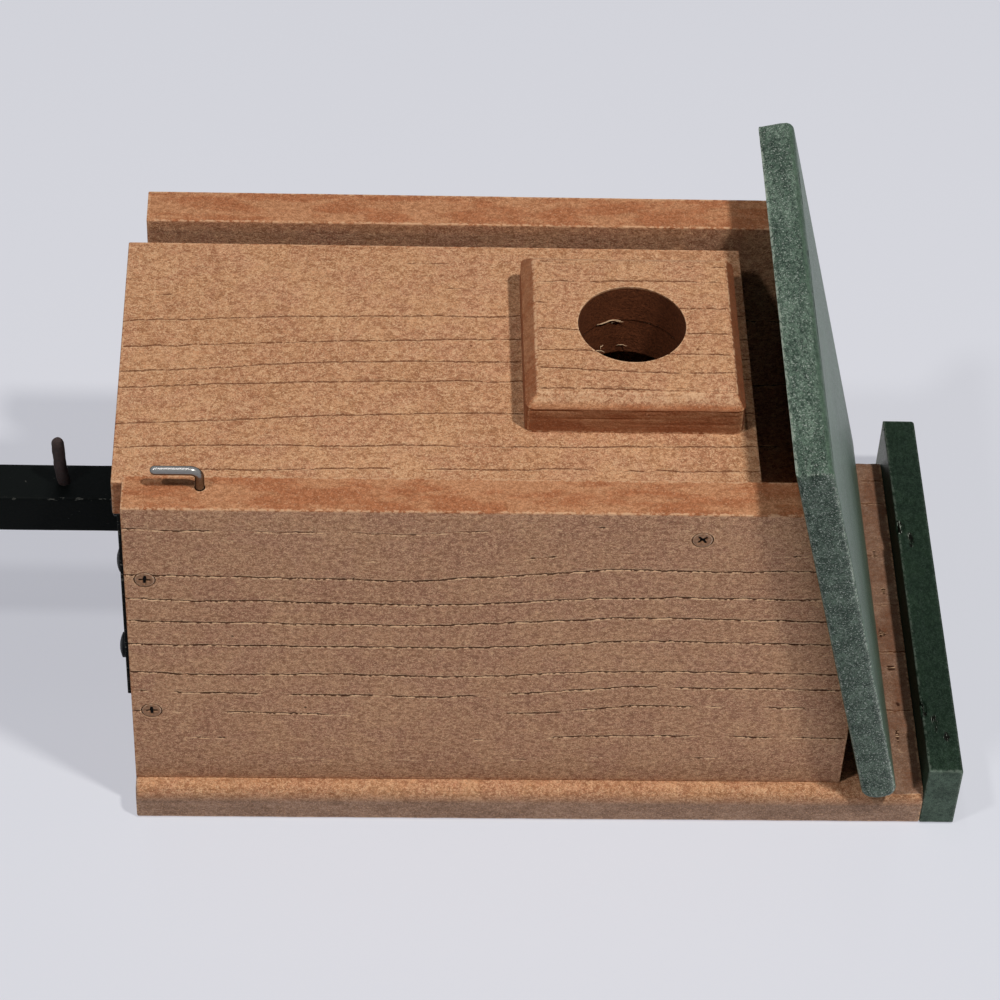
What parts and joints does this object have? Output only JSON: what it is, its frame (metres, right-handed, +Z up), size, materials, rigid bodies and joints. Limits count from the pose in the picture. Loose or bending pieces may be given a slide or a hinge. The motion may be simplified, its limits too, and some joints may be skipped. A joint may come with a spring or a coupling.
{
  "type": "bluebird nest box on a flanged pole",
  "caption": "Sloped-roof bluebird nest box with a swing-up front, guard block round the entrance, turn hook latch, and a flanged square steel pole.",
  "frame": {"origin": "centre of the pole's lower end face", "axes": "+Z up along the pole, -Y towards the front with the entrance hole, +X to the right as seen from the front, the side with the latch hook"},
  "size_m": [0.1828, 0.1894, 0.5575],
  "materials": {
    "brown_board": "matte speckled wood-fibre composite with an embossed grain",
    "green_board": "matte green composite, speckled at the cut ends",
    "black_steel": "black paint, worn along the edges",
    "black_screw": "black coated screw",
    "zinc_wire": "bright zinc plate, slightly dulled",
    "rusty_rod": "dark rusted steel",
    "painted_screw": "tan coated deck screw"
  },
  "bodies": {
    "house": {"back_board": "brown_board", "left_side": "brown_board", "right_side": "brown_board", "floor": "brown_board", "roof": "green_board", "top_cap": "green_board", "mounting_plate": "black_steel", "pole": "black_steel", "pole_pin": "rusty_rod", "left_pivot_screw": "painted_screw", "right_pivot_screw": "painted_screw", "left_floor_screw_front": "painted_screw", "left_floor_screw_back": "painted_screw", "right_floor_screw_front": "painted_screw", "right_floor_screw_back": "painted_screw", "left_back_screw_low": "painted_screw", "left_back_screw_middle": "painted_screw", "left_back_screw_high": "painted_screw", "right_back_screw_low": "painted_screw", "right_back_screw_middle": "painted_screw", "right_back_screw_high": "painted_screw", "left_roof_screw": "painted_screw", "right_roof_screw": "painted_screw", "left_cap_screw": "painted_screw", "right_cap_screw": "painted_screw", "left_plate_screw_front": "black_screw", "left_plate_screw_middle": "black_screw", "left_plate_screw_back": "black_screw", "right_plate_screw_front": "black_screw", "right_plate_screw_middle": "black_screw", "right_plate_screw_back": "black_screw"},
    "door": {"front_door": "brown_board", "guard_block": "brown_board", "left_guard_screw": "painted_screw", "right_guard_screw": "painted_screw"},
    "hook": {"latch_hook": "zinc_wire"}
  },
  "joints": [
    {"name": "door_hinge", "type": "hinge", "parent": "house", "child": "door", "pos_m": [0, -0.067, 0.451], "axis": [-1, 0, 0], "range_deg": [0, 85]},
    {"name": "latch_turn", "type": "hinge", "parent": "house", "child": "hook", "pos_m": [0.0695, -0.0795, 0.2804], "axis": [0, 1, 0], "range_deg": [0, 90]}
  ]
}
